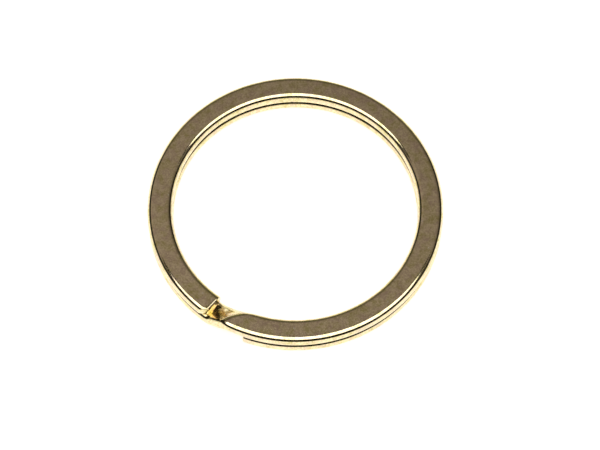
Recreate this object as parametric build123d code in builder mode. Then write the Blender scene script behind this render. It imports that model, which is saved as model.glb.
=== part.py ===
"""Flat split key ring: one strip of flat spring wire wound edgewise into two turns.

The upper turn ends in a free end.  One turn further on, the strip steps down through a crank, passes
under that free end and runs round again as the lower turn.  The coil climbs as a right-handed helix.
Z is the coil's axis, the underside of the lower turn lies on Z = 0, and angles are counted
counter-clockwise from +X.
"""
from build123d import *
from math import cos, radians, sin
import os

# Driving dimensions, in millimetres and degrees
outer_diameter = 32.0
strip_width = 2.75
strip_thickness = 1.35
edge_radius = 0.6  # rolled round edges of the flat wire
turn_gap = 0.06  # daylight between the two turns

fold_angle = -120.0  # where the crank's middle crosses the middle of the strip
fold_skew = 42.0  # the folds lie this far off the radius, outer end leading
fold_slope = 52.0  # steepness of the crank between its two folds
fold_inner_radius = 0.55
crank_lead = 17.0  # angle of level strip and crank, each side of the fold angle

upper_end_angle = -127.0  # cut end of the upper turn, at the middle of the strip
upper_end_skew = 4.0
lower_end_angle = -110.0  # cut end of the lower turn, hidden under the crank
lower_end_skew = 33.0
end_bevel = 0.7  # bevelled outer corner of each cut end
end_edge_radius = 0.15  # deburred edges of each cut end
waste_angle = 8.0  # left on each turn before its end is cut

# Worked out from those
outer_radius = outer_diameter / 2
inner_radius = outer_radius - strip_width
mean_radius = outer_radius - strip_width / 2
drop = strip_thickness + turn_gap
height = strip_thickness + drop
crank_start = fold_angle + crank_lead
crank_finish = fold_angle - crank_lead
reach = 2 * strip_width  # longer than any stretch of strip that is cut with it

slope = radians(fold_slope)
middle_fold_radius = fold_inner_radius + strip_thickness / 2
outer_fold_radius = fold_inner_radius + strip_thickness
ramp_length = (drop - 2 * middle_fold_radius * (1 - cos(slope))) / sin(slope)
half_run = middle_fold_radius * sin(slope) + ramp_length * cos(slope) / 2


def outward(angle):
    """Unit vector pointing away from the axis, at an angle round the ring."""
    return Vector(cos(radians(angle)), sin(radians(angle)), 0)


def forward(angle):
    """Unit vector along the strip, the way it steps down, at an angle round the ring."""
    return Vector(sin(radians(angle)), -cos(radians(angle)), 0)


def level_turn(first_angle, last_angle, level):
    """A level turn of round-edged strip, counter-clockwise between two angles."""
    with BuildPart() as turn:
        with BuildSketch(Plane(origin=(0, 0, 0), x_dir=outward(first_angle), z_dir=forward(first_angle))):
            with Locations((mean_radius, level + strip_thickness / 2)):
                RectangleRounded(strip_width, strip_thickness, edge_radius)
        revolve(axis=Axis.Z, revolution_arc=last_angle - first_angle)
    return turn.part


def cut_end(turn, angle, skew, side):
    """Cut a turn off at an angle, bevel the cut's outer corner and deburr its edges.

    side is -1 where the waste lies forward along the strip, and 1 where it lies behind.
    """
    across = outward(angle).rotate(Axis.Z, -skew)
    corner = strip_width / 2
    with BuildPart() as trimmed:
        add(turn)
        with BuildSketch(Plane(origin=outward(angle) * mean_radius, x_dir=across, z_dir=(0, 0, side))):
            with BuildLine():
                Polyline(
                    (-reach, 0),
                    (corner - end_bevel, 0),
                    (corner, -end_bevel),
                    (reach, corner - end_bevel - reach),
                    (reach, reach),
                    (-reach, reach),
                    close=True,
                )
            make_face()
        extrude(amount=reach, both=True, mode=Mode.SUBTRACT)
        upright_cuts = trimmed.faces(Select.LAST).filter_by(GeomType.PLANE).filter_by(Axis.Z, reverse=True)
        fillet(upright_cuts.edges(), end_edge_radius)
    return trimmed.part


def crank_line(level, first_radius, second_radius):
    """Side view of one face of the crank: level, down through its two folds, and level again."""
    upper_level = Line((-reach, level), (-half_run, level))
    first_fold = JernArc(upper_level @ 1, upper_level % 1, first_radius, -fold_slope)
    ramp = Line(first_fold @ 1, first_fold @ 1 + (first_fold % 1) * ramp_length)
    second_fold = JernArc(ramp @ 1, ramp % 1, second_radius, fold_slope)
    lower_level = Line(second_fold @ 1, (reach, level - drop))
    return upper_level @ 0, lower_level @ 1


# The upper turn, from the crank round to the free end
upper_turn = level_turn(crank_start, 360 + upper_end_angle + waste_angle, drop)
upper_turn = cut_end(upper_turn, upper_end_angle, upper_end_skew, 1)

# The lower turn, from its hidden end round to the foot of the crank
lower_turn = level_turn(lower_end_angle - waste_angle, 360 + crank_finish, 0)
lower_turn = cut_end(lower_turn, lower_end_angle, lower_end_skew, -1)

# The crank: a folded band, trimmed to the ring's plan, with the strip's round edges
with BuildPart() as crank:
    downhill = forward(fold_angle).rotate(Axis.Z, -fold_skew)
    fold_line = downhill.cross(Vector(0, 0, 1))
    with BuildSketch(Plane(origin=outward(fold_angle) * mean_radius, x_dir=downhill, z_dir=fold_line)):
        with BuildLine():
            top_start, top_finish = crank_line(height, outer_fold_radius, fold_inner_radius)
            base_start, base_finish = crank_line(drop, fold_inner_radius, outer_fold_radius)
            Line(top_start, base_start)
            Line(top_finish, base_finish)
        make_face()
    extrude(amount=reach, both=True)
    with BuildSketch():
        with BuildLine():
            rim = CenterArc((0, 0), outer_radius, crank_finish, crank_start - crank_finish)
            eye = CenterArc((0, 0), inner_radius, crank_finish, crank_start - crank_finish)
            Line(rim @ 0, eye @ 0)
            Line(rim @ 1, eye @ 1)
        make_face()
    extrude(amount=height, mode=Mode.INTERSECT)
    walls = crank.faces().filter_by(GeomType.CYLINDER).filter_by(lambda face: abs(face.normal_at().Z) < 0.01)
    fillet(walls.edges().filter_by(lambda edge: abs((edge % 0.5).Z) < 0.99), edge_radius)

with BuildPart() as split_ring:
    add(lower_turn)
    add(crank.part)
    add(upper_turn)
split_ring.part.label = "split_ring"

os.makedirs("parts", exist_ok=True)
export_step(split_ring.part, "parts/split_ring.step")
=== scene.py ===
from math import cos, pi, radians, sin

import bpy
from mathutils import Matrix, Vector


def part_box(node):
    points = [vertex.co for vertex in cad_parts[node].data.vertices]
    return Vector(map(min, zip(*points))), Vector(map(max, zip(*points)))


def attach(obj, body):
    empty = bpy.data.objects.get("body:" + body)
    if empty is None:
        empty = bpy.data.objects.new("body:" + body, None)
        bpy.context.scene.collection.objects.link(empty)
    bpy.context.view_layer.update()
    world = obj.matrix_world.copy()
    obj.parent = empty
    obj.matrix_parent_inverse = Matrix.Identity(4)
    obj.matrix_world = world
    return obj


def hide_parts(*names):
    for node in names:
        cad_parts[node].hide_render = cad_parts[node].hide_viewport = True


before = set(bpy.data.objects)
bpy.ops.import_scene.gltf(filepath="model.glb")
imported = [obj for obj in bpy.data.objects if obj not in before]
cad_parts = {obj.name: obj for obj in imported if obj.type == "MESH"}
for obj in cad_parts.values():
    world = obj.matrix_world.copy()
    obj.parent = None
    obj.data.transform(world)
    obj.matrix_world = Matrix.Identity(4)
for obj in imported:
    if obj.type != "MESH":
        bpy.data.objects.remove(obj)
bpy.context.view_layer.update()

MM = 0.001

# The strip, as it is built.  Its outside size and its height come from the frame.
lowest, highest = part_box("split_ring")
OUTER_RADIUS = (highest[0] - lowest[0]) / 2
RING_HEIGHT = highest[2] - lowest[2]
STRIP_WIDTH = 2.75 * MM
STRIP_THICKNESS = 1.35 * MM
EDGE_RADIUS = 0.6 * MM

# The crank, where the strip steps down.  Places are counted along the strip from the crank's own angle.
CRANK_ANGLE = radians(-118)
CRANK_TOP = -0.55 * MM  # where the ramp leaves the upper level, at the middle of the strip
CRANK_TOP_SKEW = radians(46)
CRANK_TOP_BOW = 0.6 / MM  # times the square of the distance from the strip's middle
CRANK_FOOT = 2.45 * MM  # where the ramp reaches the lower level, at the middle of the strip
CRANK_FOOT_SKEW = radians(6)
CRANK_TOP_BEND = 0.25  # share of the ramp that is upper bend
CRANK_FOOT_BEND = 0.2
CRANK_LEAN = 0.35 * MM  # how far the underside is ahead of the top
CRANK_LEAD = radians(17)  # stretch before and after the crank's angle that has closely spaced faces

# The cut ends
UPPER_END_ANGLE = radians(-127)
UPPER_END_SKEW = radians(4)
LOWER_END_ANGLE = radians(-110)
LOWER_END_SKEW = radians(33)
END_BEVEL = 0.7 * MM
END_EDGE_RADIUS = 0.15 * MM

MEAN_RADIUS = OUTER_RADIUS - STRIP_WIDTH / 2
DROP = RING_HEIGHT - STRIP_THICKNESS


# --------------------------------------------------------------------------------------------------
# The coil, wound by Geometry Nodes

class Net:
    """Short hand for joining up the nodes of one tree."""

    def __init__(self, tree):
        self.tree = tree

    def node(self, kind, inputs=(), **settings):
        """Add a node, set its properties, and fill its inputs with values or links."""
        made = self.tree.nodes.new(kind)
        for name, value in settings.items():
            setattr(made, name, value)
        for socket, value in dict(inputs).items():
            self.fill(made.inputs[socket], value)
        return made

    def fill(self, socket, value):
        if isinstance(value, bpy.types.NodeSocket):
            self.tree.links.new(value, socket)
        else:
            socket.default_value = value

    def math(self, operation, *values):
        made = self.node("ShaderNodeMath", operation=operation)
        for socket, value in zip(made.inputs, values):
            self.fill(socket, value)
        return made.outputs[0]

    def add(self, a, b):
        return self.math("ADD", a, b)

    def take(self, a, b):
        return self.math("SUBTRACT", a, b)

    def times(self, a, b):
        return self.math("MULTIPLY", a, b)

    def over(self, a, b):
        return self.math("DIVIDE", a, b)

    def clamp(self, value, low, high):
        return self.math("MINIMUM", self.math("MAXIMUM", value, low), high)

    def parts(self, vector):
        return self.node("ShaderNodeSeparateXYZ", {0: vector}).outputs

    def vector(self, x, y, z):
        return self.node("ShaderNodeCombineXYZ", {0: x, 1: y, 2: z}).outputs[0]

    def vector_math(self, operation, a, b):
        return self.node("ShaderNodeVectorMath", {0: a, 1: b}, operation=operation).outputs[0]

    def scaled(self, vector, by):
        return self.node("ShaderNodeVectorMath", {0: vector, "Scale": by}, operation="SCALE").outputs[0]

    def rise(self, value, span, shape="LINEAR"):
        """0 below the span of values, 1 above it, rising in between."""
        low, high = span
        inputs = {"Value": value, "From Min": low, "From Max": high}
        return self.node("ShaderNodeMapRange", inputs, interpolation_type=shape).outputs[0]

    def blend(self, share, first, second):
        """Mix two colours: the first at a share of 0, the second at 1."""
        made = self.node("ShaderNodeMix", {"Factor": share}, data_type="RGBA")
        inputs = {socket.identifier: socket for socket in made.inputs}
        self.fill(inputs["A_Color"], first)
        self.fill(inputs["B_Color"], second)
        return next(socket for socket in made.outputs if socket.identifier == "Result_Color")


COIL_SIZES = {
    "Mean Radius": MEAN_RADIUS,
    "Strip Width": STRIP_WIDTH,
    "Strip Thickness": STRIP_THICKNESS,
    "Edge Radius": EDGE_RADIUS,
    "Drop": DROP,
    "Crank Angle": CRANK_ANGLE,
    "Crank Top": CRANK_TOP,
    "Crank Top Skew": CRANK_TOP_SKEW,
    "Crank Top Bow": CRANK_TOP_BOW,
    "Crank Foot": CRANK_FOOT,
    "Crank Foot Skew": CRANK_FOOT_SKEW,
    "Crank Top Bend": CRANK_TOP_BEND,
    "Crank Foot Bend": CRANK_FOOT_BEND,
    "Crank Lean": CRANK_LEAN,
    "Crank Lead": CRANK_LEAD,
    "Upper End Angle": UPPER_END_ANGLE,
    "Upper End Skew": UPPER_END_SKEW,
    "Lower End Angle": LOWER_END_ANGLE,
    "Lower End Skew": LOWER_END_SKEW,
    "End Bevel": END_BEVEL,
    "End Edge Radius": END_EDGE_RADIUS,
}
ROUND_STEPS = 10  # faces round each rolled corner of the strip
FLAT_STEPS = 14  # faces across each flat of the strip
TURN_STEPS = 240  # faces along each level turn
CRANK_STEPS = 150  # faces along the crank
END_STEPS = 8  # faces round the deburred edge of a cut end
END_REACH = 4 * MM  # stretch over which a slanted end fades into the square sections
CLOSING = 1 * MM  # make-believe stretch at each end, folded in to close it
SEAL = 0.0005 * MM  # points closer than this become one


def strip_section(net, size):
    """The strip's rounded section, a closed curve with extra points along its two flats."""
    corner_points = ROUND_STEPS + 1
    half_points = 2 * corner_points + FLAT_STEPS - 1
    circle = net.node("GeometryNodeCurvePrimitiveCircle", {"Resolution": 2 * half_points, "Radius": 1.0})
    index = net.node("GeometryNodeInputIndex").outputs[0]
    lower = net.math("GREATER_THAN", index, half_points - 0.5)
    place = net.take(index, net.times(lower, half_points))
    # One half is a rolled corner, the flat and the other corner.  The other half is the same, turned round.
    first = net.clamp(place, 0, ROUND_STEPS)
    flat = net.clamp(net.take(place, ROUND_STEPS), 0, FLAT_STEPS)
    last = net.clamp(net.take(place, ROUND_STEPS + FLAT_STEPS), 0, ROUND_STEPS)
    turn = net.times(net.add(first, last), (pi / 2) / ROUND_STEPS)
    half_flat = net.take(net.over(size["Strip Width"], 2), size["Edge Radius"])
    half_side = net.take(net.over(size["Strip Thickness"], 2), size["Edge Radius"])
    along = net.times(half_flat, net.take(1, net.times(flat, 2 / FLAT_STEPS)))
    out = net.add(along, net.times(size["Edge Radius"], net.math("COSINE", turn)))
    up = net.add(half_side, net.times(size["Edge Radius"], net.math("SINE", turn)))
    side = net.take(1, net.times(lower, 2))
    placed = net.node("GeometryNodeSetPosition", {
        "Geometry": circle.outputs["Curve"],
        "Position": net.vector(net.times(out, side), net.times(up, side), 0.0),
    })
    return placed.outputs[0]


def strip_length(net, size):
    """Length of the strip along its middle: two turns, less the stretch the two ends fall short by."""
    short = net.take(size["Lower End Angle"], size["Upper End Angle"])
    return net.times(size["Mean Radius"], net.take(4 * pi, short))


def straight_strip(net, size, section, length, crank_from, crank_to):
    """The strip before winding: straight along X, with its rings of faces close together where it bends."""
    edge = size["End Edge Radius"]
    stops = [
        (CLOSING, 1), (edge, END_STEPS), (net.take(crank_from, edge), TURN_STEPS),
        (net.take(crank_to, crank_from), CRANK_STEPS),
        (net.take(net.take(length, edge), crank_to), TURN_STEPS), (edge, END_STEPS), (CLOSING, 1),
    ]
    index = net.node("GeometryNodeInputIndex").outputs[0]
    reached = 0
    along = -CLOSING
    for stretch, steps in stops:
        share = net.clamp(net.over(net.take(index, reached), steps), 0, 1)
        along = net.add(along, net.times(share, stretch))
        reached += steps
    line = net.node("GeometryNodeCurvePrimitiveLine", {"End": (1.0, 0.0, 0.0)})
    points = net.node("GeometryNodeResampleCurve", {"Curve": line.outputs[0], "Count": reached + 1})
    spaced = net.node("GeometryNodeSetPosition", {
        "Geometry": points.outputs[0], "Position": net.vector(along, 0.0, 0.0),
    })
    swept = net.node("GeometryNodeCurveToMesh", {"Curve": spaced.outputs[0], "Profile Curve": section})
    return swept.outputs[0]


def wound(net, size, strip, length, crank_at):
    """Wind the straight strip into two turns, step it down at the crank, and shape its cut ends."""
    where = net.parts(net.node("GeometryNodeInputPosition").outputs[0])
    raw, side, up = where[0], net.times(where[1], -1), where[2]
    edge, width, thickness = size["End Edge Radius"], size["Strip Width"], size["Strip Thickness"]
    mean = size["Mean Radius"]

    # Deburred ends: the section shrinks on a quarter circle, then folds flat to close the strip
    along = net.clamp(raw, 0, length)
    folded = net.math("GREATER_THAN", net.math("ABSOLUTE", net.take(raw, along)), CLOSING / 2)
    to_end = {1: along, -1: net.take(length, along)}
    inset = 0.0
    run = along
    for sign, distance in to_end.items():
        near = net.clamp(distance, 0, edge)
        turn = net.times(net.over(near, edge), pi / 2)
        inset = net.add(inset, net.times(edge, net.take(1, net.math("SINE", turn))))
        rounded = net.times(edge, net.take(1, net.math("COSINE", turn)))
        run = net.add(run, net.times(net.take(rounded, near), sign))
    side = net.times(side, net.take(1, net.over(inset, net.over(width, 2))))
    up = net.times(net.times(up, net.take(1, net.over(inset, net.over(thickness, 2)))), net.take(1, folded))

    # Slanted cuts with a bevelled outer corner, fading into square sections along the strip
    bevel = net.math("MAXIMUM", net.take(side, net.take(net.over(width, 2), size["End Bevel"])), 0)
    for sign, skew in ((1, size["Upper End Skew"]), (-1, size["Lower End Skew"])):
        fade = net.clamp(net.take(1, net.over(to_end[sign], END_REACH)), 0, 1)
        slant = net.add(net.times(side, net.math("TANGENT", skew)), net.times(bevel, sign))
        run = net.add(run, net.times(fade, slant))

    # Wound round the axis
    angle = net.take(size["Upper End Angle"], net.over(run, mean))
    radius = net.add(mean, side)
    x = net.times(radius, net.math("COSINE", angle))
    y = net.times(radius, net.math("SINE", angle))

    # The crank: a twisted ramp between two skewed bends, its underside a little ahead of its top
    past = net.take(run, crank_at)
    top = net.add(size["Crank Top"], net.times(side, net.math("TANGENT", size["Crank Top Skew"])))
    top = net.take(top, net.times(net.times(side, side), size["Crank Top Bow"]))
    foot = net.add(size["Crank Foot"], net.times(side, net.math("TANGENT", size["Crank Foot Skew"])))
    ramp = net.take(foot, top)
    first, last = size["Crank Top Bend"], size["Crank Foot Bend"]
    steepness = net.over(1, net.take(1, net.over(net.add(first, last), 2)))

    def fallen(lead):
        share = net.over(net.take(net.add(past, lead), top), ramp)
        bending = net.clamp(share, 0, first)
        straight = net.clamp(net.take(share, first), 0, net.take(net.take(1, first), last))
        easing = net.clamp(net.take(share, net.take(1, last)), 0, last)
        bent = net.over(net.times(bending, bending), net.times(first, 2))
        eased = net.take(easing, net.over(net.times(easing, easing), net.times(last, 2)))
        curve = net.add(net.add(bent, straight), eased)
        return net.times(net.times(curve, steepness), size["Drop"])

    top_height = net.take(net.add(thickness, size["Drop"]), fallen(0.0))
    under_height = net.take(size["Drop"], fallen(size["Crank Lean"]))
    level = net.add(net.over(up, thickness), 0.5)
    z = net.add(under_height, net.times(level, net.take(top_height, under_height)))
    marked = net.node("GeometryNodeStoreNamedAttribute", {
        "Geometry": strip, "Name": "strip_place", "Value": net.vector(run, side, up),
    }, data_type="FLOAT_VECTOR", domain="POINT")
    return net.node("GeometryNodeSetPosition", {
        "Geometry": marked.outputs[0], "Position": net.vector(x, y, z),
    }).outputs[0]


def coil_tree():
    """The node tree that winds the ring from its sizes."""
    tree = bpy.data.node_groups.new("split_ring_coil", "GeometryNodeTree")
    tree.interface.new_socket("Geometry", in_out="OUTPUT", socket_type="NodeSocketGeometry")
    for name, value in COIL_SIZES.items():
        socket = tree.interface.new_socket(name, in_out="INPUT", socket_type="NodeSocketFloat")
        socket.default_value = value
    tree.interface.new_socket("Finish", in_out="INPUT", socket_type="NodeSocketMaterial")
    net = Net(tree)
    size = net.node("NodeGroupInput").outputs
    length = strip_length(net, size)
    to_crank = net.add(2 * pi, net.take(size["Upper End Angle"], size["Crank Angle"]))
    crank_at = net.times(size["Mean Radius"], to_crank)
    crank_from = net.times(size["Mean Radius"], net.take(to_crank, size["Crank Lead"]))
    crank_to = net.times(size["Mean Radius"], net.add(to_crank, size["Crank Lead"]))
    section = strip_section(net, size)
    strip = straight_strip(net, size, section, length, crank_from, crank_to)
    coil = wound(net, size, strip, length, crank_at)
    sealed = net.node("GeometryNodeMergeByDistance", {"Geometry": coil, "Distance": SEAL}).outputs[0]
    outward = net.node("GeometryNodeFlipFaces", {"Mesh": sealed}).outputs[0]
    smooth = net.node("GeometryNodeSetShadeSmooth", {"Geometry": outward}).outputs[0]
    real = net.node("GeometryNodeRealizeInstances", {"Geometry": smooth}).outputs[0]
    finished = net.node("GeometryNodeSetMaterial", {"Geometry": real, "Material": size["Finish"]}).outputs[0]
    tree.links.new(finished, net.node("NodeGroupOutput").inputs[0])
    return tree


def wind_ring(finish):
    """The ring as a plain mesh, wound by the node tree."""
    ring = bpy.data.objects.new("gold_split_ring", bpy.data.meshes.new("gold_split_ring"))
    bpy.context.scene.collection.objects.link(ring)
    tree = coil_tree()
    winding = ring.modifiers.new("winding", "NODES")
    winding.node_group = tree
    for item in tree.interface.items_tree:
        if item.in_out == "INPUT":
            winding[item.identifier] = finish if item.name == "Finish" else COIL_SIZES[item.name]
    evaluated = ring.evaluated_get(bpy.context.evaluated_depsgraph_get())
    plain = bpy.data.meshes.new_from_object(evaluated)
    ring.modifiers.remove(winding)
    ring.data = plain
    return ring


# --------------------------------------------------------------------------------------------------
# Finishes

CLOUD_SPAN = 0.38, 0.62  # stretch of the cloud noise that goes from clear to cloudy
TARNISH_SPAN = 0.42, 0.6
ROLL_LINE_SPAN = 0.3, 0.7
FINE_CLOUDS = 4.3  # how many small clouds go into the width of a large one
FINE_CLOUD_SHARE = 0.55
TARNISH_PATCHES = 0.8  # how many patches of tarnish go into the width of a large cloud
ROLL_LINE_STRETCH = (0.04, 1.0, 1.0)  # roll lines run 25 times as far along the strip as across it
SPECKS = 0.5  # how many specks go into the width of a large cloud
SPECK_EDGE = 0.06, 0.1  # where a speck fades out, as a share of the distance between specks
SPECK_COLOUR = (1.0, 0.93, 0.78, 1.0)
SPECK_STRENGTH = 0.35
SPECK_ROUGHNESS = 0.08

PLATING_INPUTS = {
    "Place": "NodeSocketVector",
    "Clear": "NodeSocketColor",
    "Cloudy": "NodeSocketColor",
    "Tarnished": "NodeSocketColor",
    "Cloud Size": "NodeSocketFloat",
    "Roll Line Size": "NodeSocketFloat",
    "Smoothest": "NodeSocketFloat",
    "Roughest": "NodeSocketFloat",
}
PLATING_OUTPUTS = {"Color": "NodeSocketColor", "Roughness": "NodeSocketFloat", "Height": "NodeSocketFloat"}


def plating_group():
    """Plating over rolled wire: cloudy colour, lines left by the rolls, and specks of dust."""
    tree = bpy.data.node_groups.new("rolled_plating", "ShaderNodeTree")
    for name, kind in PLATING_INPUTS.items():
        tree.interface.new_socket(name, in_out="INPUT", socket_type=kind)
    for name, kind in PLATING_OUTPUTS.items():
        tree.interface.new_socket(name, in_out="OUTPUT", socket_type=kind)
    net = Net(tree)
    given = net.node("NodeGroupInput").outputs
    place = given["Place"]

    def noise(vector, scale, detail):
        made = net.node("ShaderNodeTexNoise", {"Vector": vector, "Scale": scale, "Detail": detail})
        return made.outputs["Fac"]

    # Colour: clear plating with clouds in it, some of them tarnished
    clouds = noise(place, net.over(1, given["Cloud Size"]), 4.0)
    fine = noise(place, net.over(FINE_CLOUDS, given["Cloud Size"]), 2.0)
    tarnish = noise(place, net.over(TARNISH_PATCHES, given["Cloud Size"]), 3.0)
    both_clouds = net.add(net.times(clouds, 1 - FINE_CLOUD_SHARE), net.times(fine, FINE_CLOUD_SHARE))
    toned = net.blend(net.rise(tarnish, TARNISH_SPAN), given["Cloudy"], given["Tarnished"])
    mixed = net.blend(net.rise(both_clouds, CLOUD_SPAN), given["Clear"], toned)

    # Specks of dust, lighter and rougher than the plating
    spots = net.node("ShaderNodeTexVoronoi", {
        "Vector": place, "Scale": net.over(SPECKS, given["Cloud Size"]),
    })
    speck = net.take(1, net.rise(spots.outputs["Distance"], SPECK_EDGE))
    dusted = net.blend(net.times(speck, SPECK_STRENGTH), mixed, SPECK_COLOUR)

    # Roughness follows the roll lines, and height the roll lines and the clouds
    drawn_out = net.vector_math("MULTIPLY", place, ROLL_LINE_STRETCH)
    lines = noise(drawn_out, net.over(1, given["Roll Line Size"]), 2.0)
    roughening = net.take(given["Roughest"], given["Smoothest"])
    rough = net.add(given["Smoothest"], net.times(roughening, net.rise(lines, ROLL_LINE_SPAN)))
    rough = net.add(rough, net.times(speck, SPECK_ROUGHNESS))
    height = net.add(net.times(lines, 0.5), net.times(clouds, 0.5))

    out = net.node("NodeGroupOutput").inputs
    tree.links.new(dusted, out["Color"])
    tree.links.new(rough, out["Roughness"])
    tree.links.new(height, out["Height"])
    return tree


GOLD = {
    "Clear": (1.0, 0.86, 0.54, 1.0),
    "Cloudy": (0.74, 0.58, 0.40, 1.0),
    "Tarnished": (0.66, 0.58, 0.24, 1.0),
    "Cloud Size": 0.8 * MM,
    "Roll Line Size": 0.12 * MM,
    "Smoothest": 0.06,
    "Roughest": 0.14,
}
WAVINESS = 0.02 * MM  # height of the roll lines and clouds in the surface
WAVINESS_STRENGTH = 0.08


def gold_plate():
    """Pale gold plating, polished, over rolled wire."""
    material = bpy.data.materials.new("gold_plate")
    material.use_nodes = True
    tree = material.node_tree
    net = Net(tree)
    plating = net.node("ShaderNodeGroup", GOLD, node_tree=plating_group())
    place = net.node("ShaderNodeAttribute", attribute_name="strip_place").outputs["Vector"]
    net.fill(plating.inputs["Place"], place)
    bump = net.node("ShaderNodeBump", {
        "Height": plating.outputs["Height"], "Strength": WAVINESS_STRENGTH, "Distance": WAVINESS,
    })
    metal = tree.nodes["Principled BSDF"]
    metal.inputs["Metallic"].default_value = 1.0
    tree.links.new(plating.outputs["Color"], metal.inputs["Base Color"])
    tree.links.new(plating.outputs["Roughness"], metal.inputs["Roughness"])
    tree.links.new(bump.outputs[0], metal.inputs["Normal"])
    return material


TABLE_GLOW = 0.67  # with the lamp's light on it, this makes the table white


def white_table():
    """White card, brightened where it is seen directly or in a reflection."""
    material = bpy.data.materials.new("white_table")
    material.use_nodes = True
    tree = material.node_tree
    net = Net(tree)
    surface = tree.nodes["Principled BSDF"]
    surface.inputs["Base Color"].default_value = (0.8, 0.8, 0.8, 1.0)
    surface.inputs["Roughness"].default_value = 0.9
    surface.inputs["Specular IOR Level"].default_value = 0.0
    rays = net.node("ShaderNodeLightPath").outputs
    seen = net.math("MAXIMUM", rays["Is Camera Ray"], rays["Is Glossy Ray"])
    seen = net.math("MAXIMUM", seen, rays["Is Transmission Ray"])
    surface.inputs["Emission Color"].default_value = (1.0, 1.0, 1.0, 1.0)
    tree.links.new(net.times(seen, TABLE_GLOW), surface.inputs["Emission Strength"])
    return material


ring = wind_ring(gold_plate())
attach(ring, "root")
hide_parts("split_ring")


# --------------------------------------------------------------------------------------------------
# Table, light and camera

TABLE_REACH = 2.0

LAMP_HEIGHT = 1.0
LAMP_CENTRE = -0.2225
LAMP_WIDTH = 1.68
LAMP_DEPTH = 0.995
LAMP_POWER = 8.5

# The room's colours
CEILING = (0.212, 0.184, 0.175)
FAR_WALL = (0.15, 0.14, 0.075)
WHITE_SWEEP = (1.0, 1.0, 1.0)
DIM = (0.02, 0.018, 0.012)

# Where its parts fade in or out.  Heights are 0 for level and 1 for straight up.
CEILING_EDGE = 0.63, 0.72
FAR_WALL_TOP = 0.55, 0.66
FAR_WALL_SIDE = 0.7, 0.9  # 1 is straight along +Y
SWEEP_TOP = 0.12, 0.17
LAMP_FRAME = 1.15, 1.27  # outer edge of the dark frame round the lamp, 1 being the lamp's own edge
CEILING_START = 0.0, 0.6  # the ceiling fades in beyond the lamp's middle, in half depths of the lamp

# The ceiling dims toward +Y and +X
CEILING_LEVEL = 1.85
DIMMING_ALONG = 1.7
DIMMING_ACROSS = 0.8
CEILING_DIMMEST = 0.5
CEILING_BRIGHTEST = 1.3
NEARLY_LEVEL = 0.01  # keeps what is divided by away from zero

VIEW_ELEVATION = radians(64.03)
VIEW_DISTANCE = 235.75 * MM
VIEW_LENS = 130.261  # millimetres, as is the sensor's width
VIEW_SENSOR = 36
LOOKED_AT = Vector((0, 0, 1.1 * MM))
AIM_RIGHT = 0.4952 * MM
AIM_BELOW = 1.4334 * MM


def table():
    """A white table top, level with the ring's underside."""
    reach = TABLE_REACH
    corners = [(-reach, -reach, 0), (reach, -reach, 0), (reach, reach, 0), (-reach, reach, 0)]
    mesh = bpy.data.meshes.new("table")
    mesh.from_pydata(corners, [], [(0, 1, 2, 3)])
    mesh.materials.append(white_table())
    top = bpy.data.objects.new("table", mesh)
    bpy.context.scene.collection.objects.link(top)


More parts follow.
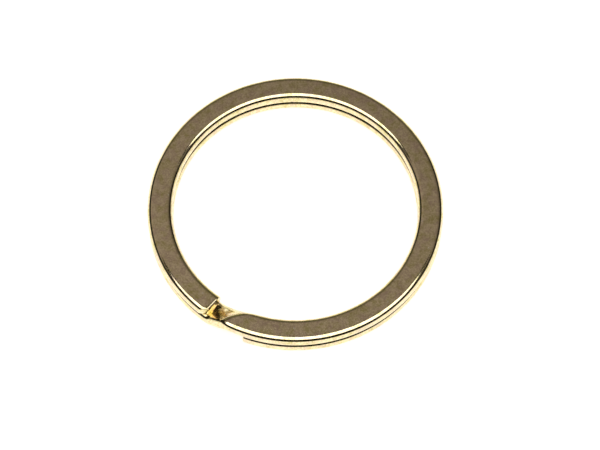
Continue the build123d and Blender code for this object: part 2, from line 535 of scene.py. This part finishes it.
def room():
    """A dim room above a white table: a pale ceiling, a dark frame round the lamp, a white sweep low down."""
    world = bpy.data.worlds.new("room")
    bpy.context.scene.world = world
    world.use_nodes = True
    net = Net(world.node_tree)
    x, y, z = net.parts(net.node("ShaderNodeTexCoord").outputs["Generated"])
    height = net.math("MAXIMUM", z, NEARLY_LEVEL)

    def rises(value, span):
        return net.rise(value, span, "SMOOTHSTEP")

    # Place on the ceiling, in half widths and half depths of the lamp from its middle
    across = net.over(net.over(x, height), LAMP_WIDTH / 2 / LAMP_HEIGHT)
    along = net.take(net.over(y, height), LAMP_CENTRE / LAMP_HEIGHT)
    along = net.over(along, LAMP_DEPTH / 2 / LAMP_HEIGHT)
    reach = net.math("SQRT", net.add(net.times(across, across), net.times(along, along)))

    ceiling = net.times(rises(z, CEILING_EDGE), rises(reach, LAMP_FRAME))
    ceiling = net.times(ceiling, rises(along, CEILING_START))
    dimming = net.add(net.times(net.over(y, z), DIMMING_ALONG), net.times(net.over(x, z), DIMMING_ACROSS))
    brightness = net.clamp(net.take(CEILING_LEVEL, dimming), CEILING_DIMMEST, CEILING_BRIGHTEST)
    ceiling = net.times(ceiling, brightness)

    level = net.math("SQRT", net.add(net.times(x, x), net.times(y, y)))
    beyond = rises(net.over(y, net.math("MAXIMUM", level, NEARLY_LEVEL)), FAR_WALL_SIDE)
    wall = net.times(beyond, net.take(1, rises(z, FAR_WALL_TOP)))
    sweep = net.take(1, rises(z, SWEEP_TOP))

    light = DIM
    for colour, share in ((CEILING, ceiling), (WHITE_SWEEP, sweep), (FAR_WALL, wall)):
        light = net.vector_math("ADD", net.scaled(colour, share), light)
    world.node_tree.links.new(light, world.node_tree.nodes["Background"].inputs["Color"])


def lamp():
    """One soft lamp overhead."""
    light = bpy.data.lights.new("softbox", "AREA")
    light.shape = "ELLIPSE"
    light.size = LAMP_WIDTH
    light.size_y = LAMP_DEPTH
    light.energy = LAMP_POWER
    holder = bpy.data.objects.new("softbox", light)
    holder.location = (0, LAMP_CENTRE, LAMP_HEIGHT)
    bpy.context.scene.collection.objects.link(holder)


def camera():
    """Looks down on the ring from the -Y side, aimed a little right of its middle and below it."""
    ahead = Vector((0, cos(VIEW_ELEVATION), -sin(VIEW_ELEVATION)))
    above = Vector((0, sin(VIEW_ELEVATION), cos(VIEW_ELEVATION)))
    eye = LOOKED_AT - ahead * VIEW_DISTANCE
    aim = LOOKED_AT + Vector((AIM_RIGHT, 0, 0)) - above * AIM_BELOW
    view = bpy.data.cameras.new("camera")
    view.sensor_width = VIEW_SENSOR
    view.lens = VIEW_LENS
    view.clip_start = 0.01
    holder = bpy.data.objects.new("camera", view)
    holder.location = eye
    holder.rotation_euler = (aim - eye).to_track_quat("-Z", "Y").to_euler()
    bpy.context.scene.collection.objects.link(holder)
    bpy.context.scene.camera = holder


table()
room()
lamp()
camera()
bpy.context.scene.view_settings.view_transform = "Standard"
